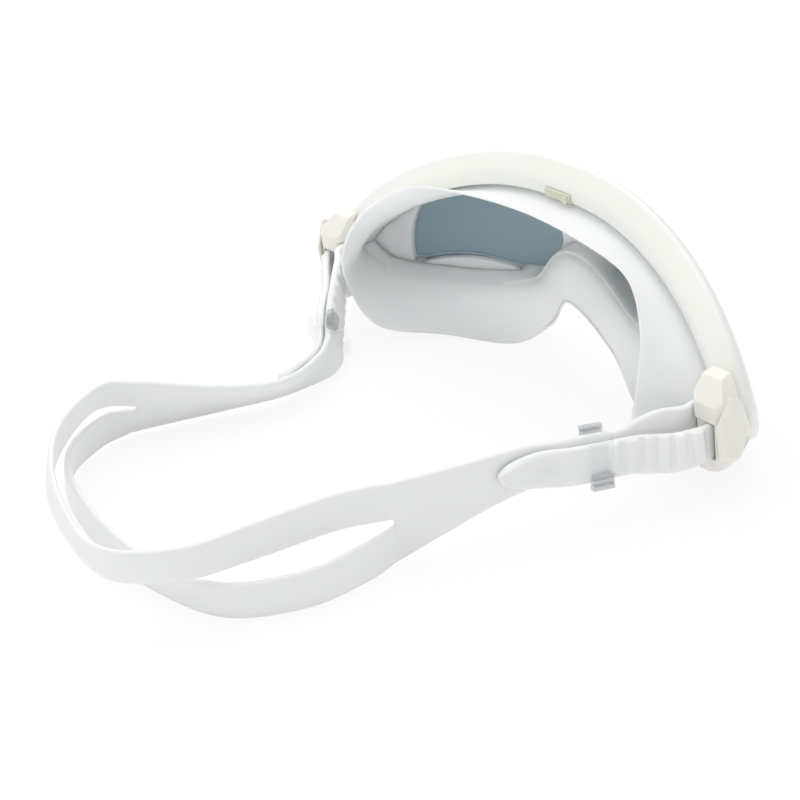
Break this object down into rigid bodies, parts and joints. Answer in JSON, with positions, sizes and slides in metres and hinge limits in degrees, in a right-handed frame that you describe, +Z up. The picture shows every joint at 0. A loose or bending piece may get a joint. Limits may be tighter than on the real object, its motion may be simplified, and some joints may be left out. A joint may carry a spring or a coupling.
{
  "type": "swimming goggles",
  "caption": "Wide-view swimming goggles with a curved smoke lens, a soft face skirt, push-release side buckles and a split head strap.",
  "frame": {"origin": "on the table plane, below the line through the front's zero depth at the temples, in the middle between the buckles", "axes": "+Y is the way the wearer looks, +X the wearer's right, +Z up from the table the goggles lie on"},
  "size_m": [0.1804, 0.2031, 0.0678],
  "materials": {
    "frame_plastic": "glossy ivory",
    "smoke_lens": "clear smoke grey polycarbonate",
    "yellowed_plastic": "translucent, faintly yellow",
    "skirt_silicone": "satin white silicone",
    "strap_silicone": "satin white silicone",
    "buckle_plastic": "glossy warm white",
    "clear_plastic": "clear, faintly blue",
    "steel": "stainless steel"
  },
  "bodies": {
    "goggles": {"frame": "frame_plastic", "lens": "smoke_lens", "lens_lock": "yellowed_plastic", "retaining_ring": "frame_plastic", "skirt": "skirt_silicone", "strap": "strap_silicone", "buckle_left": "buckle_plastic", "buckle_right": "buckle_plastic", "lever_pin_left": "steel", "lever_pin_right": "steel", "lever_spring_left": "steel", "lever_spring_right": "steel"},
    "lever_left": {"release_lever_left": "buckle_plastic"},
    "lever_right": {"release_lever_right": "buckle_plastic"},
    "keeper_left": {"strap_keeper_left": "clear_plastic"},
    "keeper_right": {"strap_keeper_right": "clear_plastic"}
  },
  "joints": [
    {"name": "release_left", "type": "hinge", "parent": "goggles", "child": "lever_left", "pos_m": [-0.0865, -0.00051, 0.02067], "axis": [0, 0.1219, -0.9925], "range_deg": [0, 7], "stiffness_Nm_per_rad": 0.15, "springref_deg": -2.86, "deforming": ["lever_spring_left"]},
    {"name": "release_right", "type": "hinge", "parent": "goggles", "child": "lever_right", "pos_m": [0.0865, -0.00051, 0.02067], "axis": [0, -0.1219, 0.9925], "range_deg": [0, 7], "stiffness_Nm_per_rad": 0.15, "springref_deg": -2.86, "deforming": ["lever_spring_right"]},
    {"name": "keeper_slide_left", "type": "slide", "parent": "goggles", "child": "keeper_left", "axis": [0.7226, -0.6222, -0.3011], "range_m": [-0.003, 0.002]},
    {"name": "keeper_slide_right", "type": "slide", "parent": "goggles", "child": "keeper_right", "axis": [-0.33, -0.944, 0], "range_m": [-0.003, 0.003]}
  ]
}
